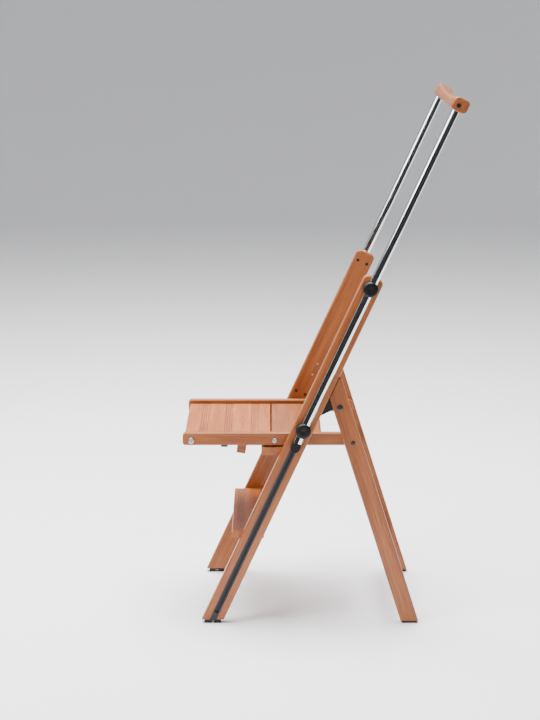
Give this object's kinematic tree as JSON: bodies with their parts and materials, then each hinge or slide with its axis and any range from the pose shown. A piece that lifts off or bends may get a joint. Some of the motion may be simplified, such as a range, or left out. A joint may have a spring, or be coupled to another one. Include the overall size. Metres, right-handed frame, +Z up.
{
  "type": "step ladder",
  "caption": "Folding beech step ladder with a seat platform that lifts to a top step while its rear board flips over to be a step, and a sliding chrome handrail.",
  "frame": {"origin": "on the floor under the middle of the bounding box, with the rear legs open, the platform down as a seat and the handrail raised", "axes": "+Z up; +X from the climbing side towards the rear legs; +Y to the left-hand side, so right_ nodes are at -Y"},
  "size_m": [0.689, 0.552, 1.305],
  "materials": {
    "beech": "clear satin varnish over straight-grained beech",
    "chrome": "polished chrome plate",
    "black_plastic": "fine moulded texture",
    "track_plastic": "extruded, satin",
    "black_steel": "black powder coat",
    "zinc": "bright zinc plate",
    "dark_steel": "black oxide",
    "rubber": "moulded, matt"
  },
  "bodies": {
    "stile_frame": {"right_stile": "beech", "left_stile": "beech", "lower_tread": "beech", "middle_tread": "beech", "right_track": "track_plastic", "left_track": "track_plastic", "right_top_guide": "black_plastic", "left_top_guide": "black_plastic", "right_middle_guide": "black_plastic", "left_middle_guide": "black_plastic", "right_hinge_plate": "black_steel", "left_hinge_plate": "black_steel", "tread_dowels": "beech", "guide_screws": "dark_steel", "hinge_plate_pins": "zinc", "front_feet": "rubber", "front_foot_nails": "zinc", "seat_rest_pads": "rubber"},
    "rear_frame": {"right_rear_leg": "beech", "left_rear_leg": "beech", "upper_rail": "beech", "lower_rail": "beech", "rail_dowels": "beech", "hinge_bolts": "dark_steel", "hinge_nuts": "zinc", "arm_pivot_bolts": "dark_steel", "arm_pivot_nuts": "zinc", "arm_washers": "black_plastic", "rear_feet": "rubber", "rear_foot_nails": "zinc"},
    "arms": {"right_arm": "beech", "left_arm": "beech", "arm_buffers": "rubber"},
    "deck": {"deck_board": "beech", "deck_batten": "beech", "batten_screws": "zinc", "deck_pivot_bolts": "zinc", "deck_spacers": "black_plastic", "link_pivot_pins": "dark_steel"},
    "flip_step": {"flip_tread": "beech", "tread_pivot_bolts": "zinc", "tread_spacers": "black_plastic"},
    "links": {"right_link": "black_steel", "left_link": "black_steel", "link_end_pins": "dark_steel"},
    "handrail": {"right_handrail_tube": "chrome", "left_handrail_tube": "chrome", "right_slider": "black_plastic", "left_slider": "black_plastic", "grip": "beech", "grip_bolts": "dark_steel"}
  },
  "joints": [
    {"name": "rear_leg_fold", "type": "hinge", "parent": "stile_frame", "child": "rear_frame", "pos_m": [0.04213, 0, 0.5476], "axis": [0, 1, 0], "range_deg": [0, 42.4]},
    {"name": "arm_swing", "type": "hinge", "parent": "rear_frame", "child": "arms", "pos_m": [0.07413, 0, 0.459], "axis": [0, 1, 0], "range_deg": [0, 78.1]},
    {"name": "deck_tilt", "type": "hinge", "parent": "arms", "child": "deck", "pos_m": [-0.32287, 0, 0.459], "axis": [0, 1, 0], "range_deg": [-78.1, 0]},
    {"name": "flip_step_turn", "type": "hinge", "parent": "arms", "child": "flip_step", "pos_m": [-0.11687, 0, 0.459], "axis": [0, 1, 0], "range_deg": [0, 101.91]},
    {"name": "link_turn", "type": "hinge", "parent": "deck", "child": "links", "pos_m": [-0.24887, 0, 0.455], "axis": [0, 1, 0], "range_deg": [0, 125.14]},
    {"name": "handrail_slide", "type": "slide", "parent": "stile_frame", "child": "handrail", "axis": [0.4195, 0, 0.9078], "range_m": [-0.44, 0]}
  ],
  "couplings": [
    {"joint": "deck_tilt", "follows": "arm_swing", "ratio": -1},
    {"joint": "flip_step_turn", "follows": "arm_swing", "ratio": 1.3047},
    {"joint": "link_turn", "follows": "arm_swing", "ratio": 1.6022}
  ]
}
